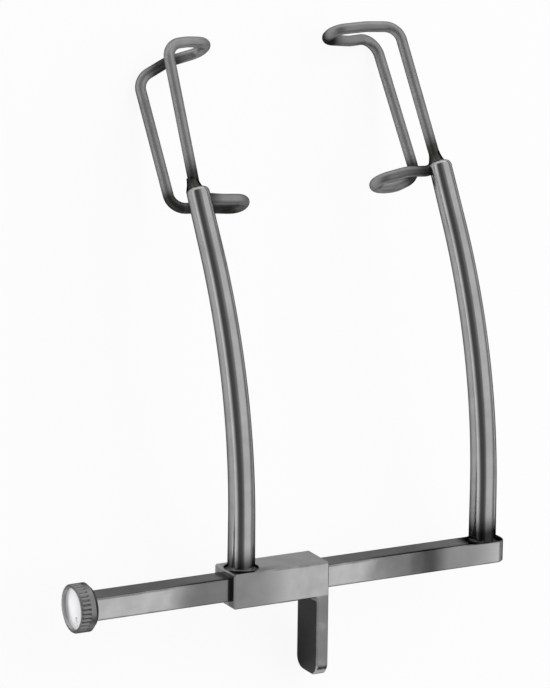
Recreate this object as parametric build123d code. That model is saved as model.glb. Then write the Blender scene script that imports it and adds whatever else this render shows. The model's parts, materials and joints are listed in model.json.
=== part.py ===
from build123d import *
from dataclasses import dataclass
import math
import os

# Eye speculum with a sliding bar: a crossbar with one fixed arm, a sliding
# sleeve with the other arm and a thumb tab, and a bent wire lid blade on each arm.
#
# It is drawn standing: X runs along the crossbar from the knob's outer face,
# Z up the arms, and Y towards the side that the arms bow to. At the end it is
# laid down on that side, on the thumb tab and the two blades, as it comes to rest.
# All sizes are in millimetres and degrees.

# Crossbar
BAR_LENGTH = 50.0
BAR_DEPTH = 3.0
BAR_HEIGHT = 2.5
BAR_END_RADIUS = 1.2
BAR_EDGE = 0.12

# Screwed-on end knob
KNOB_DIAMETER = 5.3
KNOB_LENGTH = 2.1
KNOB_REAR_CHAMFER = 0.45
KNOB_FRONT_CHAMFER = 0.12
KNURL_LENGTH = 1.1
KNURL_COUNT = 32
KNURL_DEPTH = 0.14
DISH_RIM = 0.4
DISH_DEPTH = 0.4
DISH_CROWN = 0.2
PUNCH_DIAMETER = 0.6
PUNCH_DEPTH = 0.2
PUNCH_BELOW = 1.3
STUD_DIAMETER = 1.6
STUD_LENGTH = 1.05
STUD_END_GAP = 0.1
THREAD_CLEARANCE = 0.02

# Sliding sleeve and its thumb tab
SLIDE_LENGTH = 11.5
SLIDE_DEPTH = 4.7
SLIDE_HEIGHT = 3.9
SLIDE_EDGE = 0.15
SLIDE_FIT = 0.03
SLIDE_AT = 16.0
TAB_THICKNESS = 1.4
TAB_LENGTH = 9.05
TAB_CORNER_RADIUS = 1.4

# Bowed arms
ARM_FOOT_DIAMETER = 3.0
ARM_BOW_DIAMETER = 2.75
ARM_TOP_DIAMETER = 2.5
ARM_TOP = 41.3
ARM_STRAIGHT_TO = 6.8
ARM_BOW_RADIUS = 56.0
ARM_BOW_ANGLE = 30.5
ARM_END_RADIUS = 0.6
BRAZE_REACH = 0.4
BRAZE_HEIGHT = 0.6
BRAZE_HOLLOW = 0.35
BRAZE_OVERLAP = 0.08
NECK_DIAMETER = 2.3
NECK_HEIGHT = 1.7
NECK_SUNK = 0.35
FIXED_ARM_INSET = 2.3
SLIDING_ARM_INSET = 2.0
SPIGOT_DIAMETER = 1.6
SLIDE_SPIGOT_LENGTH = 0.45
BAR_SPIGOT_LENGTH = 1.5

# Wire lid blades: along the blade, back from its front wire, and in towards the other blade
WIRE_DIAMETER = 1.2
BLADE_LENGTH = 17.6
BLADE_LEAN = 33.8
LID_CHANNEL = 5.8
HOOK_REACH = 7.0
HOOK_TIP_WIDTH = 2.8
HOOK_TIP_RADIUS = 1.6
CORNER_RADIUS = 1.9
BRAZED_CORNER_RADIUS = 1.3
ARCH_RADIUS = 5.0
BACK_CORNER_LIFT = 0.65
BLADE_SET_DOWN = 0.9
BLADE_SET_BACK = 0.6

TINY = 1e-4


@dataclass(frozen=True)
class HandBend:
    """How one wire loop was bent by hand.

    Each corner stands off its drawn place by (along, back, inward), and each hook's
    wire arches up along the blade, between its corner and its tip, by one distance.
    """

    front_top: tuple
    tip_top: tuple
    back_top: tuple
    back_bottom: tuple
    tip_bottom: tuple
    front_top_arch: float
    back_top_arch: float
    back_bottom_arch: float
    front_bottom_arch: float


SLIDING_BEND = HandBend(
    front_top=(0.15, 0.1, 1.2),
    tip_top=(0.15, -0.85, -0.45),
    back_top=(-1.3, 0.47, -0.1),
    back_bottom=(0.3, -0.15, -0.4),
    tip_bottom=(-0.55, -0.7, -0.65),
    front_top_arch=0.2,
    back_top_arch=0.5,
    back_bottom_arch=0.1,
    front_bottom_arch=-0.1,
)
FIXED_BEND = HandBend(
    front_top=(-0.5, -0.35, 0.4),
    tip_top=(0.35, -0.45, 0.45),
    back_top=(0.85, 0.2, 0.1),
    back_bottom=(0.65, -0.95, 0.25),
    tip_bottom=(0.6, 0.85, -0.9),
    front_top_arch=0.2,
    back_top_arch=-0.3,
    back_bottom_arch=-0.6,
    front_bottom_arch=0.45,
)

# Places that follow from the sizes
BAR_START = KNOB_LENGTH
BAR_END = BAR_START + BAR_LENGTH
SLIDE_START = BAR_START + SLIDE_AT
SLIDE_END = SLIDE_START + SLIDE_LENGTH
SLIDING_ARM_X = SLIDE_START + SLIDING_ARM_INSET
FIXED_ARM_X = BAR_END - FIXED_ARM_INSET


def cylinder_along_x(radius, start, length):
    """A round bar along X from start."""
    return Plane.YZ.offset(start) * extrude(Circle(radius), length)


def crossbar():
    """Plain bar with a rounded free end, a stud for the knob and a socket for the fixed arm."""
    middle = (BAR_START + BAR_END) / 2
    bar = Pos(middle, 0, 0) * Box(BAR_LENGTH, BAR_DEPTH, BAR_HEIGHT)
    corners = bar.edges().filter_by(Axis.Z).group_by(Axis.X)[-1]
    bar = fillet(corners, BAR_END_RADIUS)
    bar = chamfer(bar.edges().filter_by(Axis.X), BAR_EDGE)
    stud = cylinder_along_x(STUD_DIAMETER / 2, BAR_START - STUD_LENGTH, STUD_LENGTH)
    return bar + stud - spigot(FIXED_ARM_X, BAR_HEIGHT / 2, BAR_SPIGOT_LENGTH)


def spigot(x, face_height, length):
    """The turned-down foot of an arm, or the socket that it is brazed into."""
    return Pos(x, 0, face_height - length / 2) * Cylinder(SPIGOT_DIAMETER / 2, length)


def knob_blank():
    """Turned knob: dished outer face, plain rear rim and rear chamfer."""
    radius = KNOB_DIAMETER / 2
    dish = radius - DISH_RIM
    outline = Polyline(
        (0, dish),
        (0, radius - KNOB_FRONT_CHAMFER),
        (KNOB_FRONT_CHAMFER, radius),
        (KNOB_LENGTH - KNOB_REAR_CHAMFER, radius),
        (KNOB_LENGTH, radius - KNOB_REAR_CHAMFER),
        (KNOB_LENGTH, 0),
        (DISH_DEPTH + DISH_CROWN, 0),
    )
    hollow = ThreePointArc(
        (DISH_DEPTH + DISH_CROWN, 0),
        (DISH_DEPTH + DISH_CROWN * 3 / 4, dish / 2),
        (DISH_DEPTH, dish),
    )
    wall = Line((DISH_DEPTH, dish), (0, dish))
    return revolve(make_face(outline + hollow + wall), Axis.X)


def end_knob():
    """Knob with a straight knurl round its front and a blind threaded hole for the stud."""
    flute = Rectangle(2 * KNURL_DEPTH, 2 * KNURL_DEPTH, rotation=45)
    flutes = PolarLocations(KNOB_DIAMETER / 2, KNURL_COUNT) * flute
    knurl = Plane.YZ * extrude(Sketch() + flutes, KNURL_LENGTH)
    hole_radius = STUD_DIAMETER / 2 + THREAD_CLEARANCE
    hole_length = STUD_LENGTH + STUD_END_GAP
    hole = cylinder_along_x(hole_radius, KNOB_LENGTH - hole_length, hole_length)
    return knob_blank() - knurl - hole - punch_mark()


def punch_mark():
    """Small pointed dent in the knob's dish, from the punch that locked its thread."""
    dish = KNOB_DIAMETER / 2 - DISH_RIM
    surface = DISH_DEPTH + DISH_CROWN * (1 - (PUNCH_BELOW / dish) ** 2)
    point = Cone(0, PUNCH_DIAMETER, 2 * PUNCH_DEPTH)
    return Pos(surface, 0, -PUNCH_BELOW) * Rot(0, -90, 0) * point


def slide():
    """Milled sleeve that runs on the bar, with the thumb tab standing out below it."""
    middle = (SLIDE_START + SLIDE_END) / 2
    sleeve = Pos(middle, 0, 0) * Box(SLIDE_LENGTH, SLIDE_DEPTH, SLIDE_HEIGHT)
    tab_height = SLIDE_HEIGHT + TAB_LENGTH
    tab_middle = (SLIDE_END - TAB_THICKNESS / 2, 0, SLIDE_HEIGHT / 2 - tab_height / 2)
    tab = Pos(*tab_middle) * Box(TAB_THICKNESS, SLIDE_DEPTH, tab_height)
    tab = fillet(tab.edges().filter_by(Axis.X).group_by(Axis.Z)[0], TAB_CORNER_RADIUS)
    body = sleeve + tab
    body = chamfer(body.edges(), SLIDE_EDGE)
    channel = Pos(middle, 0, 0) * Box(
        2 * SLIDE_LENGTH, BAR_DEPTH + 2 * SLIDE_FIT, BAR_HEIGHT + 2 * SLIDE_FIT
    )
    return body - channel - spigot(SLIDING_ARM_X, SLIDE_HEIGHT / 2, SLIDE_SPIGOT_LENGTH)


def arm_bow():
    """Centre line of an arm's bowed stretch, as an arc that starts straight up."""
    turn = math.radians(ARM_BOW_ANGLE)
    start = Vector(0, 0, ARM_STRAIGHT_TO)
    middle = start + Vector(0, 1 - math.cos(turn / 2), math.sin(turn / 2)) * ARM_BOW_RADIUS
    end = start + Vector(0, 1 - math.cos(turn), math.sin(turn)) * ARM_BOW_RADIUS
    return Edge.make_three_point_arc(start, middle, end)


def arm_end():
    """Where an arm's centre line ends, on the plane x = 0."""
    bow = arm_bow()
    return bow @ 1 + bow % 1 * arm_end_length()


def arm_end_length():
    """Length of the straight stretch that follows the bow, up to the arm's top."""
    bow = arm_bow()
    return (ARM_TOP - (bow @ 1).Z) / (bow % 1).Z


def rod_end(first_diameter, last_diameter, length):
    """Straight, tapered stretch of rod that stands on its first end."""
    on_its_end = (Align.CENTER, Align.CENTER, Align.MIN)
    return Cone(first_diameter / 2, last_diameter / 2, length, align=on_its_end)


def bowed_rod(foot):
    """Round rod that bows evenly and narrows along its straight ends, with a rounded top."""
    bow = arm_bow()
    bow_start = Plane(bow @ 0, z_dir=bow % 0)
    bow_end = Plane(bow @ 1, z_dir=bow % 1)
    middle = sweep(bow_start * Circle(ARM_BOW_DIAMETER / 2), path=bow)
    lower = rod_end(ARM_FOOT_DIAMETER, ARM_BOW_DIAMETER, ARM_STRAIGHT_TO - foot)
    upper = rod_end(ARM_BOW_DIAMETER, ARM_TOP_DIAMETER, arm_end_length())
    upper = fillet(upper.faces().sort_by(Axis.Z)[-1].edges(), ARM_END_RADIUS)
    return Pos(0, 0, foot) * lower + middle + bow_end * upper


def braze_ring(seat_depth):
    """Concave ring of braze round an arm's foot, no deeper than the face that it sits on."""
    wall = ARM_FOOT_DIAMETER / 2 - BRAZE_OVERLAP
    reach = ARM_FOOT_DIAMETER / 2 + BRAZE_REACH
    core = SPIGOT_DIAMETER / 2
    outline = Polyline((wall, BRAZE_HEIGHT), (core, BRAZE_HEIGHT), (core, 0), (reach, 0))
    middle = (wall + (reach - wall) * BRAZE_HOLLOW, BRAZE_HEIGHT * BRAZE_HOLLOW)
    hollow = ThreePointArc((reach, 0), middle, (wall, BRAZE_HEIGHT))
    ring = revolve(Plane.XZ * make_face(outline + hollow), Axis.Z)
    return ring & Box(2 * ARM_FOOT_DIAMETER, seat_depth, 2 * ARM_FOOT_DIAMETER)


def braze_neck():
    """Hollow neck of braze that runs up the front wire, no wider than the arm's top."""
    origin, along, _, _ = blade_plane(0, 1)
    base = NECK_DIAMETER / 2
    lip = WIRE_DIAMETER / 2 + BRAZE_OVERLAP
    outline = Polyline((lip, NECK_HEIGHT), (0, NECK_HEIGHT), (0, 0), (base, 0))
    middle = (lip + (base - lip) * BRAZE_HOLLOW, NECK_HEIGHT * BRAZE_HOLLOW)
    hollow = ThreePointArc((base, 0), middle, (lip, NECK_HEIGHT))
    start = Plane(origin + along * (BLADE_SET_DOWN - NECK_SUNK), z_dir=along)
    neck = start * revolve(Plane.XZ * make_face(outline + hollow), Axis.Z)
    arm_top = Plane(arm_end(), z_dir=arm_bow() % 1)
    return neck & arm_top * Cylinder(ARM_TOP_DIAMETER / 2, 4 * NECK_HEIGHT)


def arm(x, foot, seat_depth, spigot_length, loop):
    """Bowed rod brazed upright on its seat, with the wire loop let into its rounded end."""
    rod = bowed_rod(foot) + Pos(0, 0, foot) * braze_ring(seat_depth) + braze_neck()
    return Pos(x, 0, 0) * rod + spigot(x, foot, spigot_length) - loop


def blade_plane(x, inward):
    """Frame of one blade: x along it, y towards its back, z in towards the other blade."""
    lean = math.radians(BLADE_LEAN)
    along = Vector(0, math.sin(lean), math.cos(lean))
    back = Vector(0, math.cos(lean), -math.sin(lean))
    origin = Vector(x, 0, 0) + arm_end() - along * BLADE_SET_DOWN + back * BLADE_SET_BACK
    return origin, along, back, Vector(inward, 0, 0)


def blade(x, inward, bend):
    """Closed loop of round wire: two long wires joined by a hook at each end."""
    origin, along, back, across = blade_plane(x, inward)

    def place(corner, off=(0, 0, 0), step=0):
        u, v, w = (a + b for a, b in zip(corner, off))
        return origin + along * u + back * (v + step) + across * w

    def arch(first, last, rise):
        return (first + last) * 0.5 + along * rise

    half = HOOK_TIP_WIDTH / 2
    middle = LID_CHANNEL / 2
    front_bottom = place((0, 0, 0))
    front_top = place((BLADE_LENGTH, 0, 0), bend.front_top)
    top_tip = place((BLADE_LENGTH, middle, HOOK_REACH), bend.tip_top, -half)
    top_tip_back = place((BLADE_LENGTH, middle, HOOK_REACH), bend.tip_top, half)
    back_top = place((BLADE_LENGTH, LID_CHANNEL, 0), bend.back_top)
    back_bottom = place((BACK_CORNER_LIFT, LID_CHANNEL, 0), bend.back_bottom)
    bottom_tip_back = place((0, middle, HOOK_REACH), bend.tip_bottom, half)
    bottom_tip = place((0, middle, HOOK_REACH), bend.tip_bottom, -half)
    front_middle = (front_bottom + front_top) * 0.5
    last_arch = arch(bottom_tip, front_bottom, bend.front_bottom_arch)
    before_corner = last_arch + (front_bottom - last_arch) * 0.5
    round_the_loop = FilletPolyline(
        front_middle,
        front_top,
        arch(front_top, top_tip, bend.front_top_arch),
        top_tip,
        top_tip_back,
        arch(top_tip_back, back_top, bend.back_top_arch),
        back_top,
        back_bottom,
        arch(back_bottom, bottom_tip_back, bend.back_bottom_arch),
        bottom_tip_back,
        bottom_tip,
        last_arch,
        before_corner,
        radius=[
            CORNER_RADIUS,
            ARCH_RADIUS,
            HOOK_TIP_RADIUS,
            HOOK_TIP_RADIUS,
            ARCH_RADIUS,
            CORNER_RADIUS,
            CORNER_RADIUS,
            ARCH_RADIUS,
            HOOK_TIP_RADIUS,
            HOOK_TIP_RADIUS,
            ARCH_RADIUS,
        ],
    )
    closing_bend = FilletPolyline(before_corner, front_bottom, front_middle, radius=BRAZED_CORNER_RADIUS)
    return bent_wire(round_the_loop) + bent_wire(closing_bend)


def bent_wire(line):
    """Round wire along a line of straight runs and arcs."""
    return sweep(Plane(line @ 0, z_dir=line % 0) * Circle(WIRE_DIAMETER / 2), path=line)


def standing_pieces():
    """Every piece of the speculum in the frame it is drawn in."""
    sliding_loop = blade(SLIDING_ARM_X, 1, SLIDING_BEND)
    fixed_loop = blade(FIXED_ARM_X, -1, FIXED_BEND)
    bar_seat = BAR_DEPTH - 2 * BAR_EDGE
    slide_seat = SLIDE_DEPTH - 2 * SLIDE_EDGE
    return {
        "crossbar": crossbar(),
        "end_knob": end_knob(),
        "fixed_arm": arm(FIXED_ARM_X, BAR_HEIGHT / 2, bar_seat, BAR_SPIGOT_LENGTH, fixed_loop),
        "fixed_blade": fixed_loop,
        "slide": slide(),
        "sliding_arm": arm(SLIDING_ARM_X, SLIDE_HEIGHT / 2, slide_seat, SLIDE_SPIGOT_LENGTH, sliding_loop),
        "sliding_blade": sliding_loop,
    }


def lowest(shapes, tilt):
    """Lowest point of some pieces once laid back by the tilt."""
    laid = Compound(children=[shape.moved(laid_back(tilt)) for shape in shapes])
    return laid.bounding_box().min.Z


def laid_back(tilt):
    """Turn from standing to lying on the bowed side; the tilt is how far the bar end drops."""
    return Location((0, 0, 0), (tilt - 90, 0, 0))


def resting_tilt(standing):
    """Tilt at which the thumb tab and the blades touch the same floor, found by halving."""
    tab = [standing["slide"]]
    blades = [standing["fixed_blade"], standing["sliding_blade"]]
    low, high = 0.0, 60.0
    while high - low > TINY:
        tilt = (low + high) / 2
        if lowest(blades, tilt) < lowest(tab, tilt):
            low = tilt
        else:
            high = tilt
    return (low + high) / 2


def pieces():
    """Every piece as it lies at rest: arms along Y, floor at z = 0, origin below its middle."""
    standing = standing_pieces()
    turn = laid_back(resting_tilt(standing))
    laid = {name: shape.moved(turn) for name, shape in standing.items()}
    box = Compound(children=[shape.moved(Location()) for shape in laid.values()]).bounding_box()
    middle = box.center()
    shift = Pos(-middle.X, -middle.Y, -box.min.Z)
    return {name: shape.moved(shift) for name, shape in laid.items()}


def main():
    """Write one STEP file for each piece."""
    os.makedirs("parts", exist_ok=True)
    for name, shape in pieces().items():
        export_step(shape, "parts/" + name + ".step")


if __name__ == "__main__":
    main()
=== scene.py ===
"""Looks of an eye speculum with a sliding bar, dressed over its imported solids.

The crossbar and the sleeve keep their solids and get a worked steel finish. The bowed
arms, the wire lid blades and the end knob are made again as smooth surfaces: a rod or a
wire is a circle carried along its centre line, and the knob is a turned profile.

Pieces are worked out in the frame that the speculum is drawn in: standing, in
millimetres, X along the crossbar from the knob's outer face, Z up the arms and Y
towards the side that the arms bow to. LyingPose lays them down where the solids lie.
"""

import json
import logging
import math
from dataclasses import dataclass
from enum import Enum

import bpy
import numpy as np
from mathutils import Matrix, Vector

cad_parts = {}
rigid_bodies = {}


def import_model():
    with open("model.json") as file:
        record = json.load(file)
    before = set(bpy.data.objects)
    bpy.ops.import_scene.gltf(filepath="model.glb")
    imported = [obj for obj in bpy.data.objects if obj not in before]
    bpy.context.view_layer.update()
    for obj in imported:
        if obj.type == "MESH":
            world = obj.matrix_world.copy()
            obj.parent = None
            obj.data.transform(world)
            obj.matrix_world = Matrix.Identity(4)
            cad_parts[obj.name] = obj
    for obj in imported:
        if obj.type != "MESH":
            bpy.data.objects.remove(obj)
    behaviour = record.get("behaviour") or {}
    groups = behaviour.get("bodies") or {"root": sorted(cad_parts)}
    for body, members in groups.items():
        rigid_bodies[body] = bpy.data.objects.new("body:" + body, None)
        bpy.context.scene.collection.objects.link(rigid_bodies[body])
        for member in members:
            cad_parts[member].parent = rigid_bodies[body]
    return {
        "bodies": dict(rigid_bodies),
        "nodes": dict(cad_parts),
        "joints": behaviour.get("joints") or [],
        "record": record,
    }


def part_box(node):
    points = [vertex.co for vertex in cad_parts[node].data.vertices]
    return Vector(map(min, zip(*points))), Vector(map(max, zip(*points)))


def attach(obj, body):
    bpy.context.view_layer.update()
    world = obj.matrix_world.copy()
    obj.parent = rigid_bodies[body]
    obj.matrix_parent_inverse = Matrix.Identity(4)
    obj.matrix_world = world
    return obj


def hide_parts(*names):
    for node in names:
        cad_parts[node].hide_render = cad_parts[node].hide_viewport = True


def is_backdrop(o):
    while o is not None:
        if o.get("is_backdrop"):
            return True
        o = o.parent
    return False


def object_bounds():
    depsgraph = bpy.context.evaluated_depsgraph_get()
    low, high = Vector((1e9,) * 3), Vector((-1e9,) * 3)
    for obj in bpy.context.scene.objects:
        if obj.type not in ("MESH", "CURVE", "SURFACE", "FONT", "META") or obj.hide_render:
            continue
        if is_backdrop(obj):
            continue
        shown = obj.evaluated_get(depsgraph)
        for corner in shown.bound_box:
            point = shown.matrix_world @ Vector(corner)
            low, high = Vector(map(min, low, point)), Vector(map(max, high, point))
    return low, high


MM = 0.001
SHARP_EDGE_DEG = 32.0
GRAIN = "polishing_grain"
# Attribute by which a piece is darkened round brazed joints and under shade painted on the wires.
HEAT_AND_SHADE = "brazing_heat_and_painted_shade"
TINY = 1e-6

Array = np.ndarray
Pair = tuple[float, float]
Triple = tuple[float, float, float]
Colour = tuple[float, float, float, float]
Socket = bpy.types.NodeSocket

log = logging.getLogger("speculum")


class Side(Enum):
    """One of the two arms; the value is the way that its blade's hooks reach along X."""

    SLIDING = 1
    FIXED = -1


class Grain(Enum):
    """What a finish's polishing lines follow."""

    ALONG_BAR = "straight along the crossbar"
    ALONG_ROD = "along a bent rod or wire, or round a turned piece"


def opaque_grey(level: float, red: float = 1.0, blue: float = 1.0) -> Colour:
    """Opaque grey whose red and blue are raised or lowered by the given factors."""
    return (level * red, level, level * blue, 1.0)


def add_object(name: str, data: bpy.types.ID) -> bpy.types.Object:
    """Add an object that stands at the origin to the scene."""
    added = bpy.data.objects.new(name, data)
    bpy.context.scene.collection.objects.link(added)
    return added


@dataclass(frozen=True)
class LyingPose:
    """Place of the drawn speculum on the floor.

    Attributes:
        axis_start: Where the crossbar's axis meets the knob's outer face, in metres.
        tilt_deg: How far the arms' feet point below level, once it lies on their bow.
    """

    axis_start: Triple
    tilt_deg: float = 21.494

    @classmethod
    def from_solids(cls) -> "LyingPose":
        """Read the crossbar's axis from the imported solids."""
        knob_low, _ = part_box("end_knob")
        bar_low, bar_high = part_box("crossbar")
        middle = (bar_low + bar_high) / 2
        return cls((knob_low.x, middle.y, middle.z))

    @property
    def turn(self) -> float:
        """Turn about X that lays the drawing down, in radians."""
        return math.radians(self.tilt_deg - 90)

    def directions(self, standing: Array) -> Array:
        """Turn drawn directions, one a row, to where they point when it lies."""
        return standing @ np.array(Matrix.Rotation(self.turn, 3, "X")).T

    def points(self, standing: Array) -> Array:
        """Lay down drawn points, one a row, in metres."""
        return self.directions(standing) * MM + np.array(self.axis_start)


@dataclass
class Surface:
    """A surface worked out on a grid, rows along it and columns round it.

    Attributes:
        points: Places in drawing millimetres, by row and column.
        grain: For each point its place before bending, in millimetres, with the
            polishing lines along the third number.
        endless: Whether the last row joins the first; otherwise each end is closed
            by one more point in the middle of its row.
        row_finish: Which of the piece's finishes each row takes; the first where unsaid.
        brazed: How dark braze makes it all over, from 0 to 1.
    """

    points: Array
    grain: Array
    endless: bool = False
    row_finish: Array | None = None
    brazed: float = 0.0

    def vertices(self, values: Array) -> Array:
        """List values by vertex: the grid's, then the middles of the two ends."""
        flat = values.reshape(-1, values.shape[-1])
        if self.endless:
            return flat
        return np.vstack([flat, values[0].mean(axis=0), values[-1].mean(axis=0)])

    def faces(self) -> list[list[int]]:
        """List each face's vertices, so that it points outwards.

        A face joins neighbouring rows and columns; the last column joins the first.
        """
        rows, columns = self.points.shape[:2]
        here = np.arange(rows * columns).reshape(rows, columns)
        beside = np.roll(here, -1, axis=1)
        above = np.roll(here, -1, axis=0)
        last = None if self.endless else -1
        corners = (here, beside, np.roll(above, -1, axis=1), above)
        quads = np.stack([corner[:last].ravel() for corner in corners], axis=1)
        if self.endless:
            return quads.tolist()
        first_middle = np.full(columns, rows * columns)
        low_fan = np.stack([first_middle, beside[0], here[0]], axis=1)
        high_fan = np.stack([first_middle + 1, here[-1], beside[-1]], axis=1)
        return quads.tolist() + low_fan.tolist() + high_fan.tolist()

    def face_finishes(self, count: int) -> list[int]:
        """List each face's finish, in the order of the faces."""
        if self.row_finish is None:
            return [0] * count
        rows = self.row_finish[:-1]
        by_face = np.repeat(rows, self.points.shape[1])
        ends = np.repeat([rows[0], rows[-1]], self.points.shape[1])
        return np.concatenate([by_face, ends]).tolist()


def ring_angles(columns: int) -> Array:
    """Even angles round a circle, in radians."""
    return np.arange(columns) * (2 * math.pi / columns)


def carry_circle(line: "CentreLine", radii: Array, columns: int, **options: object) -> Surface:
    """Carry a circle along a centre line: middle + radius (cos a side + sin a back).

    Args:
        line: Middles and directions, one a row.
        radii: The circle's radius at each of them, in millimetres.
        columns: Points round the circle.
        **options: The surface's own fields.

    Returns:
        The surface, with its lines running along the centre line.
    """
    angles = ring_angles(columns)[None, :] + line.twist[:, None]
    across = np.cos(angles)[..., None] * line.side[:, None, :]
    across = across + np.sin(angles)[..., None] * line.back[:, None, :]
    points = line.middles[:, None, :] + radii[:, None, None] * across
    flat = np.broadcast_to(ring_angles(columns), angles.shape)
    grain = np.stack(
        [radii[:, None] * np.cos(flat), radii[:, None] * np.sin(flat), line.along[:, None] + 0 * flat],
        axis=-1,
    )
    return Surface(points, grain, **options)


@dataclass
class CentreLine:
    """Centre line of a rod or wire, one station a row.

    Attributes:
        middles: Places of the stations, in drawing millimetres.
        side: Directions square to the line; with back and the line they turn right-handed.
        back: The second directions square to the line.
        along: Distance of each station along the line.
        twist: Angle that the circle is turned by there, in radians.
    """

    middles: Array
    side: Array
    back: Array
    along: Array
    twist: Array


@dataclass(frozen=True)
class TurnedProfile:
    """A profile turned about a straight axis.

    Attributes:
        start: Where the axis starts, in drawing millimetres.
        axis: Direction of the axis.
        side: Direction from which angles round the axis are counted.
    """

    start: Triple
    axis: Triple
    side: Triple

    def sweep(self, heights: Array, radii: Array, columns: int, **options: object) -> Surface:
        """Turn the profile: start + height axis + radius (cos a side + sin a back).

        Args:
            heights: Places along the axis, by row, or by row and column.
            radii: Distances from the axis, in the same form.
            columns: Points round the axis.
            **options: The surface's own fields.

        Returns:
            The surface, with its lines running round the axis.
        """
        axis, side = np.array(self.axis), np.array(self.side)
        back = np.cross(axis, side)
        shape = (len(heights), columns)
        heights = np.broadcast_to(heights.reshape(len(heights), -1), shape)
        radii = np.broadcast_to(radii.reshape(len(radii), -1), shape)
        angles = ring_angles(columns)
        circle = np.cos(angles)[:, None] * side + np.sin(angles)[:, None] * back
        points = np.array(self.start) + heights[..., None] * axis + radii[..., None] * circle
        grain = np.stack([radii, heights, np.zeros(shape)], axis=-1)
        return Surface(points, grain, **options)


@dataclass(frozen=True)
class RoundedRoute:
    """Closed wire route: straight runs between corners that are rounded by arcs.

    Attributes:
        corners: Places of the corners, in drawing millimetres.
        radii: Bend radius at each corner.
        bend_step_deg: Turn between two stations in a bend.
        run_step: Distance between two stations on a run.
    """

    corners: Array
    radii: Array
    bend_step_deg: float = 5.0
    run_step: float = 0.6

    def stations(self) -> CentreLine:
        """Place stations along the route and carry one direction round it.

        In a bend the line is start + radius (sin t ahead + (1 - cos t) towards), and
        the carried direction turns with it about the bend's own axis. What is left
        between the first and the last direction is spread over the route as a twist.

        Returns:
            The closed centre line.
        """
        ahead = np.roll(self.corners, -1, axis=0) - self.corners
        ahead /= np.linalg.norm(ahead, axis=1, keepdims=True)
        before = np.roll(ahead, 1, axis=0)
        turns = np.arccos(np.clip((before * ahead).sum(axis=1), -1, 1))
        towards = ahead - before * np.cos(turns)[:, None]
        towards /= np.linalg.norm(towards, axis=1, keepdims=True)
        starts = self.corners - before * (self.radii * np.tan(turns / 2))[:, None]
        ends = self.corners + ahead * (self.radii * np.tan(turns / 2))[:, None]
        side = np.cross(before[0], towards[0])
        middles, ways, sides = [], [], []
        for corner, turn in enumerate(turns):
            bend = np.linspace(0, turn, math.ceil(math.degrees(turn) / self.bend_step_deg) + 1)[:, None]
            straight, inward = before[corner], towards[corner]
            radius = self.radii[corner]
            middles.append(starts[corner] + radius * (np.sin(bend) * straight + (1 - np.cos(bend)) * inward))
            ways.append(np.cos(bend) * straight + np.sin(bend) * inward)
            axis = np.cross(straight, inward)
            turned = np.cos(bend) * inward - np.sin(bend) * straight
            sides.append(side @ inward * turned + side @ axis * axis)
            side = sides[-1][-1]
            gap = starts[(corner + 1) % len(turns)] - ends[corner]
            steps = max(2, math.ceil(np.linalg.norm(gap) / self.run_step))
            run = (np.arange(1, steps) / steps)[:, None]
            middles.append(ends[corner] + run * gap)
            ways.append(np.repeat(ahead[corner][None, :], steps - 1, axis=0))
            sides.append(np.repeat(side[None, :], steps - 1, axis=0))
        middle, way, side_of = (np.vstack(parts) for parts in (middles, ways, sides))
        back = np.cross(way, side_of)
        steps = np.linalg.norm(np.roll(middle, -1, axis=0) - middle, axis=1)
        along = np.concatenate([[0], np.cumsum(steps)[:-1]])
        gap_angle = math.atan2(side_of[0] @ np.cross(way[0], side), side_of[0] @ side)
        return CentreLine(middle, side_of, back, along, along / steps.sum() * gap_angle)


@dataclass(frozen=True)
class Varying:
    """A number that varies over a surface; an expression on it adds Math nodes."""

    sheet: "NodeSheet"
    socket: Socket

    def __add__(self, other: object) -> "Varying":
        """Add a number."""
        return self.sheet.maths("ADD", self, other)

    def __sub__(self, other: object) -> "Varying":
        """Subtract a number."""
        return self.sheet.maths("SUBTRACT", self, other)

    def __rsub__(self, other: object) -> "Varying":
        """Subtract from a number."""
        return self.sheet.maths("SUBTRACT", other, self)

    def __mul__(self, other: object) -> "Varying":
        """Multiply by a number."""
        return self.sheet.maths("MULTIPLY", self, other)

    __radd__ = __add__
    __rmul__ = __mul__

    def rise(self, low: float, high: float) -> "Varying":
        """Rise smoothly from 0 where the number is low to 1 where it is high."""
        node = self.sheet.add(
            "ShaderNodeMapRange",
            {"interpolation_type": "SMOOTHSTEP"},
            {"Value": self, "From Min": low, "From Max": high},
        )
        return Varying(self.sheet, node.outputs["Result"])


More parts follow.
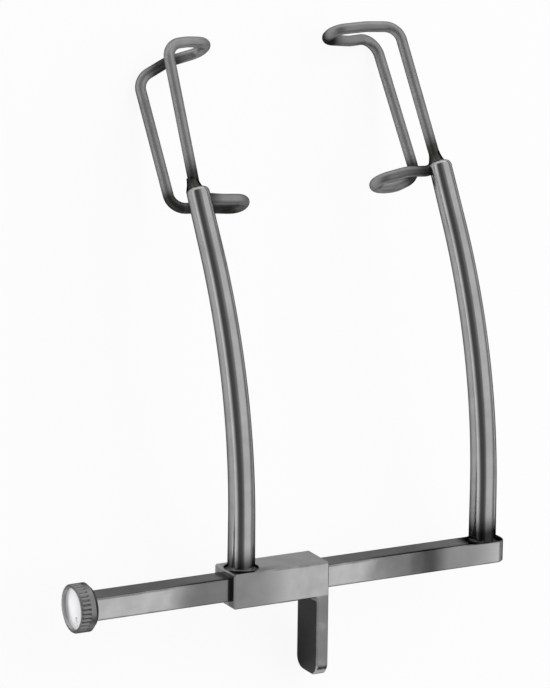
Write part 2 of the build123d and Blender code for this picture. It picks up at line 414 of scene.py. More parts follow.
class NodeSheet:
    """Node tree of a material or the world, with one way to add any node."""

    def __init__(self, tree: bpy.types.NodeTree) -> None:
        """Start with an empty tree."""
        tree.nodes.clear()
        self.tree = tree

    def add(
        self,
        kind: str,
        settings: dict[str, object] | None = None,
        inputs: dict[str | int, object] | None = None,
    ) -> bpy.types.Node:
        """Add one node.

        Args:
            kind: The node's type.
            settings: Its own settings, which are set first.
            inputs: A value, a socket or a varying number for each of its sockets.

        Returns:
            The node.
        """
        node = self.tree.nodes.new(kind)
        for name, value in (settings or {}).items():
            setattr(node, name, value)
        for name, value in (inputs or {}).items():
            self.feed(node.inputs[name], value)
        return node

    def feed(self, socket: Socket, value: object) -> None:
        """Link a varying number or a socket to a socket, or set the socket's own value."""
        if isinstance(value, Varying):
            value = value.socket
        if isinstance(value, Socket):
            self.tree.links.new(value, socket)
        else:
            socket.default_value = value

    def maths(self, operation: str, first: object, second: object) -> Varying:
        """Join two numbers by one Math node."""
        node = self.add("ShaderNodeMath", {"operation": operation}, {0: first, 1: second})
        return Varying(self, node.outputs[0])

    def parts(self, place: Socket) -> tuple[Varying, ...]:
        """Take a place or a direction apart into its three numbers."""
        node = self.add("ShaderNodeSeparateXYZ", {}, {0: place})
        return tuple(Varying(self, part) for part in node.outputs)

    def show_blend(self, kind: str, share: object, first: bpy.types.Node, second: bpy.types.Node) -> None:
        """Show a blend from the first shader to the second through an output of the given kind."""
        blend = self.add("ShaderNodeMixShader", {}, {0: share, 1: first.outputs[0], 2: second.outputs[0]})
        self.add(kind, {}, {"Surface": blend.outputs[0]})

    def noise(self, place: Socket, size: float, detail: float = 2.0) -> Varying:
        """Cloudy noise from 0 to 1 with spots of about the given size in millimetres."""
        node = self.add("ShaderNodeTexNoise", {}, {"Vector": place, "Scale": 1 / size, "Detail": detail})
        return Varying(self, node.outputs[0])

    def scaled(self, place: Socket, scale: Triple) -> Socket:
        """Stretch a place along the axes."""
        return self.add("ShaderNodeVectorMath", {"operation": "MULTIPLY"}, {0: place, 1: scale}).outputs[0]

    def blend_colours(self, factor: Varying, first: object, second: object) -> Socket:
        """Blend from the first colour to the second."""
        node = self.add("ShaderNodeMix", {"data_type": "RGBA"}, {0: factor, 6: first, 7: second})
        return node.outputs[2]


# How every steel finish varies: shares, and ranges over which a share rises from 0 to 1
LINE_STRETCH = 0.03
LINE_ROUGHNESS = 0.05
CLOUD_ROUGHNESS = 0.1
CLOUD_DETAIL = 3.0
CLOUD_RANGE = (0.3, 0.75)
CLOUDS_IN_DULLNESS = 0.8
LINES_IN_DULLNESS = 0.2
CLOUDS_IN_RELIEF = 2.0
CLEAN_BLUE = 1.01
# Tint, least share, clouds and peak of the darkening by brazing and by shade painted on the wires.
HEAT_AND_SHADE_RED = 1.02
HEAT_AND_SHADE_BLUE = 0.97
LEAST_HEAT_AND_SHADE = 0.8
CLOUDS_IN_HEAT_AND_SHADE = 0.4
HEAT_AND_SHADE_PEAK = 1.4
# Grey that painted shade, the darker long edges and the darkening round an arm's foot blend to.
DARKENED_GREY = 0.01
MOST_DARKENED = 0.95
FRONT_RANGE = (0.6, 1.3)
ZONE_CLOUDINESS = 0.3
SIDE_SHADE_BLEND = 0.1
SIDEWAYS_RANGE = (0.7, 0.95)
EDGE_PATCH_RANGE = (0.0, 0.5)
FOOT_RIM = 1.4
FOOT_TOP_RANGE = (-0.15, -0.02)


@dataclass(frozen=True)
class SteelFinish:
    """Polished stainless steel with fine lines, faint clouds, darkened brazed joints and painted shade.

    Attributes:
        slot: The record's material slot.
        grey: Brightness of the clean metal.
        roughness: Roughness between the clouds.
        grain: What its polishing lines follow.
        edge_tint: How bright the metal stays where it is seen at a low angle.
        line_size: Spacing of the polishing lines, in millimetres.
        line_depth: Depth of the polishing lines, in millimetres.
        cloud_size: Size of the clouds, in millimetres.
        cloud_share: How far the clouds darken the metal.
        heat_and_shade_grey: Brightness of the metal beside a brazed joint, and of the shade painted on the
            wires.
        painted_shade_zones: For each zone of the front that is darkened by painted shade, its
        middle along the crossbar, its reach and how far it is darkened there.
        side_shade_below: Height under which sides that face along the crossbar get painted
            shade, in drawing millimetres; none where unsaid.
        side_shade_share: How far the painted shade darkens those sides.
        half_section: Half its section from front to back and from bottom to top, where
            its long edges are darkened in cloudy patches; none where unsaid.
        edge_width: Width of the darkening along the edges.
        edge_share: How far the edges are darkened.
        foot: Place of an arm's brazed foot on it; none where unsaid.
        foot_reach: How far from the foot's axis it is darkened, partly by brazing and partly by painted
            contact shadow.
        foot_share: How far it is darkened there.
    """

    slot: str
    grey: float
    roughness: float
    grain: Grain
    edge_tint: float = 0.05
    line_size: float = 0.09
    line_depth: float = 0.0016
    cloud_size: float = 2.2
    cloud_share: float = 0.16
    heat_and_shade_grey: float = 0.2
    painted_shade_zones: tuple[Triple, ...] = ()
    side_shade_below: float | None = None
    side_shade_share: float = 0.75
    half_section: Pair | None = None
    edge_width: float = 0.35
    edge_share: float = 0.5
    foot: Triple | None = None
    foot_reach: float = 2.4
    foot_share: float = 0.85

    def build(self, pose: LyingPose) -> bpy.types.Material:
        """Make the material.

        Args:
            pose: Where the speculum lies, so that lines run along the crossbar.

        Returns:
            The material.
        """
        material = bpy.data.materials.new(self.slot)
        material.use_nodes = True
        sheet = NodeSheet(material.node_tree)
        place, stretch = self.place(sheet, pose)
        lines = sheet.noise(sheet.scaled(place, stretch), self.line_size)
        clouds = sheet.noise(place, self.cloud_size, CLOUD_DETAIL)
        uneven = LINE_ROUGHNESS * (lines - 0.5) + CLOUD_ROUGHNESS * (clouds - 0.5)
        shader = sheet.add(
            "ShaderNodeBsdfPrincipled",
            {},
            {
                "Base Color": self.colour(sheet, place, lines, clouds),
                "Metallic": 1.0,
                "Roughness": self.roughness + uneven,
                "Specular Tint": opaque_grey(self.edge_tint),
                "Normal": self.relief(sheet, lines, clouds),
            },
        )
        sheet.add("ShaderNodeOutputMaterial", {}, {"Surface": shader.outputs[0]})
        return material

    def place(self, sheet: NodeSheet, pose: LyingPose) -> tuple[Socket, Triple]:
        """Give a point's place in millimetres and the scale that stretches it along the lines."""
        if self.grain is Grain.ALONG_ROD:
            node = sheet.add("ShaderNodeAttribute", {"attribute_name": GRAIN})
            return node.outputs["Vector"], (1.0, 1.0, LINE_STRETCH)
        seen = sheet.add("ShaderNodeTexCoord").outputs["Object"]
        drawn = sheet.add(
            "ShaderNodeMapping",
            {"vector_type": "TEXTURE"},
            {
                "Vector": seen,
                "Location": pose.axis_start,
                "Rotation": (pose.turn, 0.0, 0.0),
                "Scale": (MM, MM, MM),
            },
        )
        return drawn.outputs[0], (LINE_STRETCH, 1.0, 1.0)

    def colour(self, sheet: NodeSheet, place: Socket, lines: Varying, clouds: Varying) -> Socket:
        """Darken the metal in clouds and lines, under painted shade, along its long edges and at brazed
        joints.

        Args:
            sheet: The material's nodes.
            place: Place in drawing millimetres.
            lines: The polishing lines.
            clouds: The clouds.

        Returns:
            The colour.
        """
        clean = opaque_grey(self.grey, blue=CLEAN_BLUE)
        dull = opaque_grey(self.grey * (1 - self.cloud_share), blue=CLEAN_BLUE)
        dullness = clouds.rise(*CLOUD_RANGE) * CLOUDS_IN_DULLNESS + lines * LINES_IN_DULLNESS
        metal = sheet.blend_colours(dullness, clean, dull)
        # Painted shade, darker long edges, and brazing with painted contact shadow round an arm's foot.
        metal = sheet.blend_colours(self.darkened_share(sheet, place, clouds), metal, opaque_grey(DARKENED_GREY))
        # Darkening by brazing, and by shade painted on the wires' hooks.
        heat_and_shade = Varying(sheet, sheet.add("ShaderNodeAttribute", {"attribute_name": HEAT_AND_SHADE}).outputs["Fac"])
        heat_and_shade_colour = opaque_grey(self.heat_and_shade_grey, HEAT_AND_SHADE_RED, HEAT_AND_SHADE_BLUE)
        return sheet.blend_colours(heat_and_shade * (LEAST_HEAT_AND_SHADE + CLOUDS_IN_HEAT_AND_SHADE * clouds), metal, heat_and_shade_colour)

    def darkened_share(self, sheet: NodeSheet, place: Socket, clouds: Varying) -> Varying:
        """Work out how far a place is darkened by painted shade, along its long edges and round an arm's
        foot.

        Args:
            sheet: The material's nodes.
            place: Place in drawing millimetres.
            clouds: The clouds.

        Returns:
            The share, from 0 to almost 1.
        """
        along, back, up = sheet.parts(place)
        in_front = (0 - back).rise(*FRONT_RANGE)
        darkness: Varying | float = 0.0
        # Painted shade on zones of the front.
        for middle, reach, share in self.painted_shade_zones:
            off = (along + (clouds - 0.5) * (reach * ZONE_CLOUDINESS) - middle) * (1 / reach)
            darkness = darkness + (1 - (off * off).rise(0.0, 1.0)) * in_front * share
        # Painted shade on the low sides that face along the crossbar.
        if self.side_shade_below is not None:
            sideways, _, _ = sheet.parts(sheet.add("ShaderNodeTexCoord").outputs["Normal"])
            low = 1 - up.rise(self.side_shade_below - SIDE_SHADE_BLEND, self.side_shade_below)
            darkness = darkness + (sideways * sideways).rise(*SIDEWAYS_RANGE) * low * self.side_shade_share
        # The long edges are darkened in cloudy patches.
        if self.half_section is not None:
            edge = clouds
            for part, half in zip((back, up), self.half_section):
                edge = edge * sheet.maths("ABSOLUTE", part, 0.0).rise(half - self.edge_width, half)
            darkness = sheet.maths("MAXIMUM", darkness, edge.rise(*EDGE_PATCH_RANGE) * self.edge_share)
        # On the top round an arm's foot: brazing darkening and painted contact shadow.
        if self.foot is not None:
            node = sheet.add("ShaderNodeVectorMath", {"operation": "DISTANCE"}, {0: place, 1: self.foot})
            near = 1 - Varying(sheet, node.outputs["Value"]).rise(FOOT_RIM, self.foot_reach)
            darkness = darkness + near * (up - self.foot[2]).rise(*FOOT_TOP_RANGE) * self.foot_share
        return sheet.maths("MINIMUM", darkness, MOST_DARKENED)

    def relief(self, sheet: NodeSheet, lines: Varying, clouds: Varying) -> Socket:
        """Raise the lines, and very long faint waves of hand polishing, as a bump."""
        height = lines + clouds * CLOUDS_IN_RELIEF
        node = sheet.add("ShaderNodeBump", {}, {"Height": height, "Distance": self.line_depth * MM})
        return node.outputs[0]


@dataclass(frozen=True)
class HeatAndShadeMark:
    """Place round which brazing or painted shade darkens the steel, and how far that reaches."""

    place: Array
    reach: float


@dataclass(frozen=True)
class Piece:
    """One piece of the scene: the solid it stands for, the body it rides on, its finishes.

    The first finish's slot is the piece's own.
    """

    name: str
    node: str
    body: str
    finishes: tuple[SteelFinish, ...]

    def make(self, surfaces: list[Surface], marks: tuple[HeatAndShadeMark, ...], pose: LyingPose) -> None:
        """Join surfaces in one mesh, lay it down and put it in place of its solid.

        Darkening spreads from each mark as peak exp(-(distance / reach) cubed), up to 1.

        Args:
            surfaces: The piece's surfaces.
            marks: Where brazing or painted shade darkens it.
            pose: Where the speculum lies.
        """
        places = [surface.vertices(surface.points) for surface in surfaces]
        points = np.vstack(places)
        grain = np.vstack([surface.vertices(surface.grain) for surface in surfaces])
        heat_and_shade = np.concatenate([np.full(len(own), one.brazed) for own, one in zip(places, surfaces)])
        faces, finishes, first = [], [], 0
        for surface, own in zip(surfaces, places):
            corners = surface.faces()
            faces += [[first + corner for corner in face] for face in corners]
            finishes += surface.face_finishes(len(corners))
            first += len(own)
        for mark in marks:
            distance = np.linalg.norm(points - mark.place, axis=1)
            spread = HEAT_AND_SHADE_PEAK * np.exp(-((distance / mark.reach) ** 3))
            heat_and_shade = np.maximum(heat_and_shade, np.minimum(spread, 1))
        mesh = bpy.data.meshes.new(self.name)
        mesh.from_pydata(pose.points(points), [], faces)
        mesh.polygons.foreach_set("material_index", finishes)
        mesh.attributes.new(GRAIN, "FLOAT_VECTOR", "POINT").data.foreach_set("vector", grain.ravel())
        mesh.attributes.new(HEAT_AND_SHADE, "FLOAT", "POINT").data.foreach_set("value", heat_and_shade)
        mesh.shade_smooth()
        mesh.set_sharp_from_angle(angle=math.radians(SHARP_EDGE_DEG))
        for finish in self.finishes:
            mesh.materials.append(finish.build(pose))
        piece = add_object(self.name, mesh)
        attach(piece, self.body)
        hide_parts(self.node)
        log.info("%s: %d faces, rides on %s", self.name, len(faces), self.body)


@dataclass(frozen=True)
class BowedArm:
    """Round tapered arm, brazed upright on its seat and bowed back above it.

    Attributes:
        side: Which arm it is.
        body: The body that it rides on.
        x: Where it stands along the crossbar.
        foot: Height of its seat above the crossbar's axis.
        seat_depth: Depth of the seat from front to back.
        spigot_length: How far its turned-down foot goes into the seat.
    """

    side: Side
    body: str
    x: float
    foot: float
    seat_depth: float
    spigot_length: float
    foot_diameter: float = 3.0
    top_diameter: float = 2.5
    top: float = 41.3
    straight_to: float = 6.8
    bow_radius: float = 56.0
    bow_deg: float = 30.5
    end_radius: float = 0.6
    spigot_diameter: float = 1.6
    braze_reach: float = 0.4
    braze_height: float = 0.6
    braze_overlap: float = 0.08
    neck_diameter: float = 2.3
    neck_height: float = 1.7
    neck_sunk: float = 0.35
    neck_lip: float = 0.01
    neck_power: float = 1.6
    ring_brazed: float = 0.7
    foot_heat_reach: float = 2.0
    columns: int = 96
    stations: int = 180
    end_rows: int = 14
    ring_rows: int = 12
    neck_rows: int = 24

    @property
    def bow(self) -> float:
        """Angle of the whole bow, in radians."""
        return math.radians(self.bow_deg)

    @property
    def length(self) -> float:
        """Length of the centre line from the seat to the arm's top."""
        bow_end = self.straight_to + self.bow_radius * math.sin(self.bow)
        run = (self.top - bow_end) / math.cos(self.bow)
        return self.straight_to - self.foot + self.bow_radius * self.bow + run

    def centre_line(self, along: Array) -> CentreLine:
        """Follow the arm: straight up, round an even bow, then straight on.

        Args:
            along: Distances from the seat, in millimetres.

        Returns:
            The centre line at those distances.
        """
        rise = self.foot + along
        bent = np.clip((rise - self.straight_to) / self.bow_radius, 0, self.bow)
        beyond = np.maximum(rise - self.straight_to - self.bow_radius * self.bow, 0)
        back = self.bow_radius * (1 - np.cos(bent)) + beyond * math.sin(self.bow)
        up = np.minimum(rise, self.straight_to) + self.bow_radius * np.sin(bent) + beyond * math.cos(self.bow)
        middles = np.stack([np.full_like(up, self.x), back, up], axis=1)
        side = np.broadcast_to([1.0, 0.0, 0.0], middles.shape)
        behind = np.stack([np.zeros_like(bent), np.cos(bent), -np.sin(bent)], axis=1)
        return CentreLine(middles, side, behind, along, np.zeros_like(along))

    def end(self) -> Array:
        """Where the centre line ends, at the arm's top."""
        return self.centre_line(np.array([self.length])).middles[0]

    def rod(self) -> Surface:
        """Work out the rod: spigot, even taper and a rounded top.

        The radius falls evenly with length; the top turns in through a quarter circle,
        radius = flat + end_radius cos t, length = top - end_radius (1 - sin t).
        """
        spigot = self.spigot_diameter / 2
        foot, top = self.foot_diameter / 2, self.top_diameter / 2
        start = self.length - self.end_radius
        along = np.linspace(0, start, self.stations)
        taper = foot + (top - foot) * along / self.length
        bend = np.linspace(0, math.pi / 2, self.end_rows)[1:]
        flat = taper[-1] - self.end_radius
        end_along = start + self.end_radius * np.sin(bend)
        end_radii = flat + self.end_radius * np.cos(bend)
        along = np.concatenate([[-self.spigot_length, 0, 0], along[1:], end_along])
        radii = np.concatenate([[spigot, spigot, foot], taper[1:], end_radii])
        return carry_circle(self.centre_line(along), radii, self.columns)

    def braze_ring(self) -> Surface:
        """Work out the hollow ring of braze at the foot, no deeper than the seat.

        Its outline is a quarter of a curve, reach (1 - sin t), height (1 - cos t), closed
        behind the rod's surface.
        """
        wall = self.foot_diameter / 2 - self.braze_overlap
        bend = np.linspace(0, math.pi / 2, self.ring_rows)
        reach = self.braze_reach + self.braze_overlap
        radii = np.concatenate([wall + reach * (1 - np.sin(bend)), [wall]])
        heights = np.concatenate([self.braze_height * (1 - np.cos(bend)), [0]])
        turned = TurnedProfile((self.x, 0, self.foot), (0, 0, 1), (1, 0, 0))
        ring = turned.sweep(heights, radii, self.columns, endless=True, brazed=self.ring_brazed)
        half = self.seat_depth / 2
        ring.points[..., 1] = np.clip(ring.points[..., 1], -half, half)
        return ring

    def braze_neck(self, wire: "WireBlade") -> Surface:
        """Work out the hollow neck of braze that runs up the blade's front wire.

        Its radius falls with height as lip + (base - lip) (1 - share of height) ^ power.
        What would stand out past the arm's top is drawn in towards the arm's own axis.

        Args:
            wire: The blade that the arm holds.

        Returns:
            The neck's surface.
        """
        lip = wire.wire_diameter / 2 + self.neck_lip
        share = np.linspace(0, 1, self.neck_rows)
        radii = lip + (self.neck_diameter / 2 - lip) * (1 - share) ** self.neck_power
        along, _, _ = wire.axes()
        start = wire.origin() + along * (wire.set_down - self.neck_sunk)
        turned = TurnedProfile(tuple(start), tuple(along), (1, 0, 0))
        neck = turned.sweep(self.neck_height * share, radii, self.columns, brazed=1.0)
        axis = np.array([0, math.sin(self.bow), math.cos(self.bow)])
        from_end = neck.points - self.end()
        up = (from_end @ axis)[..., None] * axis
        out = from_end - up
        reach = np.linalg.norm(out, axis=-1, keepdims=True)
        neck.points = self.end() + up + out * np.minimum(1, self.top_diameter / 2 / reach)
        return neck

    def build(self, wire: "WireBlade", finish: SteelFinish, pose: LyingPose) -> None:
        """Make the arm in place of its solid."""
        name = f"{self.side.name.lower()}_arm"
        piece = Piece(f"{name}_rod", name, self.body, (finish,))
        foot = HeatAndShadeMark(np.array([self.x, 0, self.foot]), self.foot_heat_reach)
        piece.make([self.rod(), self.braze_ring(), self.braze_neck(wire)], (foot,), pose)


@dataclass(frozen=True)
class HandBend:
    """How one wire loop was bent by hand.

    Each corner stands off its drawn place by (along the blade, back from its front
    wire, in towards the other blade), and each hook's wire arches up along the blade,
    between its corner and its tip, by one distance. Shade is painted on the hooks'
    back wires: each patch of it is given by its share of the way from the corner to
    the tip and by its reach in millimetres.
    """

    front_top: Triple
    tip_top: Triple
    back_top: Triple
    back_bottom: Triple
    tip_bottom: Triple
    front_top_arch: float
    back_top_arch: float
    back_bottom_arch: float
    front_bottom_arch: float
    top_shade: Pair
    bottom_shade: Pair


@dataclass(frozen=True)
class WireBlade:
    """One closed loop of round wire: two long wires joined by a hook at each end."""

    arm: BowedArm
    bend: HandBend
    wire_diameter: float = 1.2
    length: float = 17.6
    lean_deg: float = 33.8
    lid_channel: float = 5.8
    hook_reach: float = 7.0
    hook_tip_width: float = 2.8
    hook_tip_radius: float = 1.6
    corner_radius: float = 1.9
    brazed_corner_radius: float = 1.3
    arch_radius: float = 5.0
    back_corner_lift: float = 0.65
    set_down: float = 0.9
    set_back: float = 0.6
    joint_heat_reach: float = 2.7
    # corner_shade_reach: reach of the shade painted at the back wire's lower corner.
    corner_shade_reach: float = 1.9
    columns: int = 56

    def axes(self) -> tuple[Array, Array, Array]:
        """Directions along the blade, back from its front wire and in."""
        lean = math.radians(self.lean_deg)
        along = np.array([0, math.sin(lean), math.cos(lean)])
        back = np.array([0, math.cos(lean), -math.sin(lean)])
        return along, back, np.array([self.arm.side.value, 0, 0])

    def origin(self) -> Array:
        """Where the front wire's lower corner sits in the arm's end."""
        along, back, _ = self.axes()
        return self.arm.end() - along * self.set_down + back * self.set_back

    def route(self) -> RoundedRoute:
        """Round the loop from the front wire's top corner to its lower one."""
        bend = self.bend
        front_bottom = self.place((0, 0, 0))
        front_top = self.place((self.length, 0, 0), bend.front_top)
        top_tip = self.place((self.length, self.lid_channel / 2, self.hook_reach), bend.tip_top)
        back_top = self.place((self.length, self.lid_channel, 0), bend.back_top)
        back_bottom = self.place((self.back_corner_lift, self.lid_channel, 0), bend.back_bottom)
        bottom_tip = self.place((0, self.lid_channel / 2, self.hook_reach), bend.tip_bottom)
        along, back, _ = self.axes()
        half_tip = back * self.hook_tip_width / 2
        corner, arch, tip = self.corner_radius, self.arch_radius, self.hook_tip_radius
        bends = [
            (front_top, corner),
            (self.arch(front_top, top_tip - half_tip, bend.front_top_arch), arch),
            (top_tip - half_tip, tip),
            (top_tip + half_tip, tip),
            (self.arch(top_tip + half_tip, back_top, bend.back_top_arch), arch),
            (back_top, corner),
            (back_bottom, corner),
            (self.arch(back_bottom, bottom_tip + half_tip, bend.back_bottom_arch), arch),
            (bottom_tip + half_tip, tip),
            (bottom_tip - half_tip, tip),
            (self.arch(bottom_tip - half_tip, front_bottom, bend.front_bottom_arch), arch),
            (front_bottom, self.brazed_corner_radius),
        ]
        corners, radii = zip(*bends)
        return RoundedRoute(np.array(corners), np.array(radii))

    def place(self, corner: Triple, off: Triple = (0, 0, 0)) -> Array:
        """Place a corner given by (along, back, in), and how far it stands off that."""
        return self.origin() + (np.array(corner) + np.array(off)) @ np.stack(self.axes())

    def arch(self, first: Array, last: Array, rise: float) -> Array:
        """Place the middle of a hook's wire, risen along the blade."""
        along, _, _ = self.axes()
        return (first + last) / 2 + along * rise

    def build(self, finish: SteelFinish, pose: LyingPose) -> None:
        """Make the blade in place of its solid."""
        name = f"{self.arm.side.name.lower()}_blade"
        line = self.route().stations()
        radii = np.full(len(line.along), self.wire_diameter / 2)
        wire = carry_circle(line, radii, self.columns, endless=True)
        piece = Piece(f"{name}_wire", name, self.arm.body, (finish,))
        piece.make([wire], self.heat_and_shade_marks(), pose)

    def heat_and_shade_marks(self) -> tuple[HeatAndShadeMark, ...]:
        """Place the braze's mark, and the shade painted on the back wire's corner and hooks."""
        corners = self.route().corners
        top_tip, top_corner = corners[3], corners[5]
        bottom_corner, bottom_tip = corners[6], corners[8]
        top_share, top_reach = self.bend.top_shade
        bottom_share, bottom_reach = self.bend.bottom_shade
        return (
            HeatAndShadeMark(self.arm.end(), self.joint_heat_reach),
            # The rest are shade painted on the back wires: at the lower corner and on each hook.
            HeatAndShadeMark(bottom_corner, self.corner_shade_reach),
            HeatAndShadeMark(top_corner + top_share * (top_tip - top_corner), top_reach),
            HeatAndShadeMark(bottom_corner + bottom_share * (bottom_tip - bottom_corner), bottom_reach),
        )


@dataclass(frozen=True)
class EndKnob:
    """Turned knob with a dished face and a straight knurl, screwed on the bar's stud.

    Attributes:
        knurl_flat: How far below 0 the flutes' cosine runs before a crest cuts it off.
        rim_break: How far the rim's inner edge is broken, and how deep half-way.
        chamfer_middle: Middle of the front chamfer: back from the face, in from the side.
        row_gap: Distance between the knurl's ends and the next row.
    """

    body: str = "knob"
    diameter: float = 5.3
    length: float = 2.1
    front_chamfer: float = 0.12
    rear_chamfer: float = 0.45
    knurl_length: float = 1.1
    knurl_run_out: float = 0.15
    knurl_count: int = 32
    knurl_depth: float = 0.14
    knurl_flat: float = 0.2
    dish_rim: float = 0.4
    dish_depth: float = 0.4
    dish_crown: float = 0.2
    dish_corner: float = 0.1
    rim_break: Pair = (0.05, 0.015)
    chamfer_middle: Pair = (0.02, 0.06)
    row_gap: float = 0.05
    punch_diameter: float = 0.6
    punch_depth: float = 0.2
    punch_below: float = 1.3
    hole_diameter: float = 1.64
    hole_length: float = 1.15
    dish_middle: float = 0.01
    hole_middle: float = 0.05
    dish_rows: int = 60
    corner_rows: int = 7
    knurl_rows: int = 5
    run_out_rows: int = 7
    columns: int = 384

    def profile(self) -> tuple[Array, Array]:
        """Outline from the dish's middle over the rim and the back into the stud's hole.

        Returns:
            Places along the axis and distances from it, in millimetres.
        """
        radius = self.diameter / 2
        dish = radius - self.dish_rim
        inner = np.linspace(self.dish_middle, dish - self.dish_corner, self.dish_rows)
        floor = self.dish_depth + self.dish_crown * (1 - (inner / dish) ** 2)
        bend = np.linspace(0, math.pi / 2, self.corner_rows)[1:]
        corner_r = dish - self.dish_corner + self.dish_corner * np.sin(bend)
        corner_x = floor[-1] - self.dish_corner * (1 - np.cos(bend))
        edge, half_way = self.rim_break
        in_x, in_r = self.chamfer_middle
        wall_x = [edge, half_way, 0, 0, in_x]
        wall_r = [dish, dish + half_way, dish + edge, radius - self.front_chamfer, radius - in_r]
        knurl_end = self.knurl_length - self.knurl_run_out
        rim_x = np.concatenate(
            [
                [self.front_chamfer],
                np.linspace(self.front_chamfer + self.row_gap, knurl_end, self.knurl_rows),
                np.linspace(knurl_end, self.knurl_length, self.run_out_rows)[1:],
                [self.knurl_length + self.row_gap, self.length - self.rear_chamfer],
            ]
        )
        hole, hole_end = self.hole_diameter / 2, self.length - self.hole_length
        back_r = [radius - self.rear_chamfer, hole, hole, self.hole_middle]
        back_x = [self.length, self.length, hole_end, hole_end]
        heights = np.concatenate([floor, corner_x, wall_x, rim_x, back_x])
        radii = np.concatenate([inner, corner_r, wall_r, np.full(len(rim_x), radius), back_r])
        return heights, radii

    def knurl(self, heights: Array) -> Array:
        """Largest radius that the knurl leaves, by row and column.

        Round the knob the flutes are depth (cos + flat) / (1 + flat) of the angle within
        each flute, never below 0, and they run out smoothly at the end of the knurl.

        Args:
            heights: Places of the rows along the knob's axis.

        Returns:
            The radii.
        """
        angle = ring_angles(self.columns) * self.knurl_count
        valley = np.maximum(np.cos(angle) + self.knurl_flat, 0) / (1 + self.knurl_flat)
        run_out = np.sqrt(np.clip((self.knurl_length - heights) / self.knurl_run_out, 0, 1))
        return self.diameter / 2 - self.knurl_depth * run_out[:, None] * valley[None, :]

    def punch_mark(self, heights: Array, radii: Array) -> Array:
        """Depth of the pointed dent below the dish's middle: depth (1 - distance / radius)."""
        angle = ring_angles(self.columns)[None, :]
        across = radii * np.cos(angle)
        up = radii * np.sin(angle) + self.punch_below
        distance = np.hypot(across, up) / (self.punch_diameter / 2)
        in_dish = (np.arange(len(heights)) < self.dish_rows)[:, None]
        return np.where(in_dish, self.punch_depth * np.clip(1 - distance, 0, 1), 0)

    def build(self, rim: SteelFinish, dish: SteelFinish, pose: LyingPose) -> None:
        """Make the knob in place of its solid.

        Args:
            rim: Finish of the knurl, the rear rim and the back.
            dish: Finish of the dish and its wall: a far brighter copy of the knob's steel, whose near-white
                is a painted reflection.
            pose: Where the speculum lies.
        """
        heights, profile = self.profile()
        radii = np.minimum(profile[:, None], self.knurl(heights))
        heights = heights[:, None] + self.punch_mark(heights, radii)
        turned = TurnedProfile((0, 0, 0), (1, 0, 0), (0, 1, 0))
        dish_end = self.diameter / 2 - self.dish_rim
        in_dish = np.cumsum(profile > dish_end + TINY) == 0
        knob = turned.sweep(heights, radii, self.columns, row_finish=np.where(in_dish, 1, 0))
        Piece("end_knob_turned", "end_knob", self.body, (rim, dish)).make([knob], (), pose)


@dataclass(frozen=True)
class MilledPiece:
    """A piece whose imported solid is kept: the crossbar or the sleeve."""

    node: str

    def dress(self, frame: dict, finish: SteelFinish, pose: LyingPose) -> None:
        """Give the solid its worked steel.

        Args:
            finish: Its finish.
            pose: Where the speculum lies.
        """
        solid = frame["nodes"][self.node]
        material = finish.build(pose)
        for slot in solid.material_slots:
            slot.material = material
        log.info("%s: %d faces, dressed", self.node, len(solid.data.polygons))


@dataclass(frozen=True)
class Softbox:
    """A rectangular lamp that faces a point; its distance and its sides are in metres.

    Attributes:
        towards: Direction from the point to the lamp, when the speculum lies.
        brightness: How bright its face looks; 1 is white.
        mirrored: Whether the steel mirrors its face; otherwise it only lights the floor.
    """

    name: str
    towards: Triple
    distance: float
    width: float
    height: float
    brightness: float
    mirrored: bool = True

    def place(self, target: Vector) -> None:
        """Add the lamp, facing the target."""
        lamp = bpy.data.lights.new(self.name, "AREA")
        lamp.shape = "RECTANGLE"
        lamp.size, lamp.size_y = self.width, self.height
        lamp.energy = self.brightness * math.pi * self.width * self.height
        away = Vector(self.towards).normalized()
        turn = away.to_track_quat("Z", "Y").to_matrix().to_4x4()
        holder = add_object(self.name, lamp)
        holder.matrix_world = Matrix.Translation(target + away * self.distance) @ turn
        holder.visible_camera = False
        holder.visible_glossy = self.mirrored


